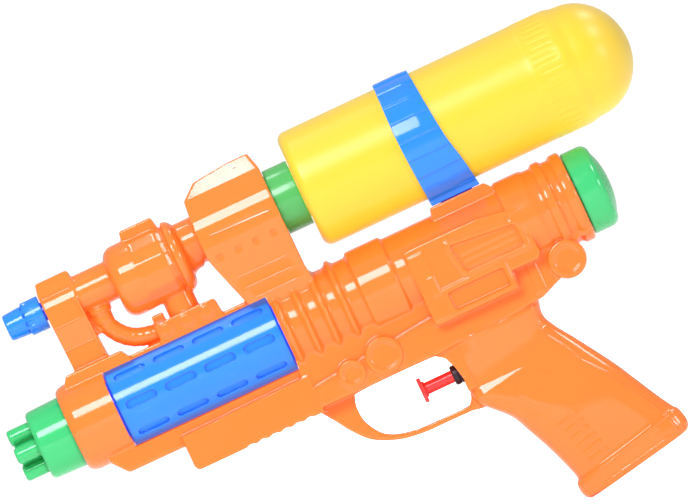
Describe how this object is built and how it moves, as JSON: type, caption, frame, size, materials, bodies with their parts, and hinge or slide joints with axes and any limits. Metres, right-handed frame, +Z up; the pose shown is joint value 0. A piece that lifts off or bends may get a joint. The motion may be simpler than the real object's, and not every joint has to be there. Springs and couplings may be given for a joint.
{
  "type": "toy water squirter",
  "caption": "Hand-held toy water squirter: hollow moulded halves with a screw-on water tank held by a strap, and a sprung trigger that works a small piston pump.",
  "frame": {"origin": "middle of the hand grip, on the plane where the two shells meet", "axes": "+X along the barrel from the muzzle to the rear, +Y to the right-hand side, +Z up with the tank on top"},
  "size_m": [0.2994, 0.055, 0.1919],
  "materials": {
    "orange_plastic": "moulded gloss",
    "blue_plastic": "moulded gloss",
    "yellow_plastic": "moulded gloss",
    "green_plastic": "moulded gloss",
    "leaf_green_plastic": "moulded gloss",
    "red_plastic": "moulded gloss",
    "black_rubber": "satin",
    "white_plastic": "satin",
    "clear_hose": "satin",
    "steel": "bright"
  },
  "bodies": {
    "body": {"left_shell": "orange_plastic", "right_shell": "orange_plastic", "barrel_sleeve": "blue_plastic", "muzzle": "green_plastic", "jet_nozzle": "white_plastic", "rear_cap": "green_plastic", "upper_nozzle": "blue_plastic", "tank_collar": "leaf_green_plastic", "tank_strap": "blue_plastic", "pump_gland": "black_rubber", "pump_cylinder": "white_plastic", "valve_body": "white_plastic", "return_spring": "steel", "intake_hose": "clear_hose", "outlet_hose": "clear_hose", "shell_screw_1": "steel", "shell_screw_2": "steel", "shell_screw_3": "steel", "shell_screw_4": "steel", "shell_screw_5": "steel", "shell_screw_6": "steel", "shell_screw_7": "steel"},
    "trigger": {"trigger": "red_plastic", "piston_seal": "black_rubber"},
    "inlet_ball": {"inlet_ball": "steel"},
    "outlet_ball": {"outlet_ball": "steel"},
    "tank_gasket": {"tank_gasket": "black_rubber"},
    "tank": {"tank": "yellow_plastic"}
  },
  "joints": [
    {"name": "trigger_pull", "type": "slide", "parent": "body", "child": "trigger", "axis": [1, 0, 0], "range_m": [0, 0.008], "stiffness_N_per_m": 200, "springref_m": -0.01, "deforming": ["return_spring"]},
    {"name": "tank_draw", "type": "slide", "parent": "body", "child": "tank_gasket", "axis": [1, 0, 0], "range_m": [0, 0.012]},
    {"name": "tank_turn", "type": "hinge", "parent": "tank_gasket", "child": "tank", "pos_m": [-0.0646, 0, 0.1248], "axis": [1, 0, 0], "range_deg": [0, 1080]},
    {"name": "inlet_lift", "type": "slide", "parent": "body", "child": "inlet_ball", "axis": [0, 0, 1], "range_m": [0, 0.0022]},
    {"name": "outlet_lift", "type": "slide", "parent": "body", "child": "outlet_ball", "axis": [0, 0, 1], "range_m": [0, 0.001]}
  ],
  "couplings": [
    {"joint": "tank_draw", "follows": "tank_turn", "m_per_rad": 0.00063662}
  ]
}
